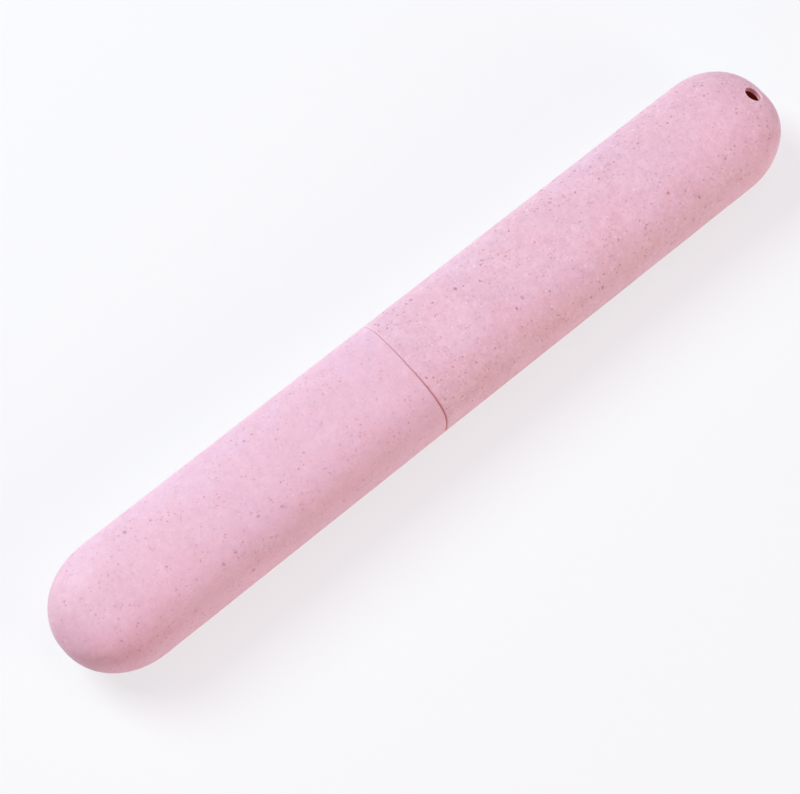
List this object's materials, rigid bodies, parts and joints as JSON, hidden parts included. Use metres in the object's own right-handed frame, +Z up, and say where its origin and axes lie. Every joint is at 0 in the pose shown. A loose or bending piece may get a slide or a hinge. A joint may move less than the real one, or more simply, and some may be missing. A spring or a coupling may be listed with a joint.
{
  "type": "toothbrush case",
  "caption": "Two-part travel tube for a toothbrush: squarish oval section, rounded ends, pull-off cap with a vent hole.",
  "frame": {"origin": "centre of the closed case, on the surface that it lies on", "axes": "+X along the case towards the cap's tip, +Z up out of the broad side, +Y across the width"},
  "size_m": [0.205, 0.029, 0.02],
  "materials": {
    "straw_plastic": "matte"
  },
  "bodies": {
    "base": {"case_base": "straw_plastic"},
    "cap": {"case_cap": "straw_plastic"}
  },
  "joints": [
    {"name": "cap_pull", "type": "slide", "parent": "base", "child": "cap", "axis": [1, 0, 0], "range_m": [0, 0.115]}
  ]
}
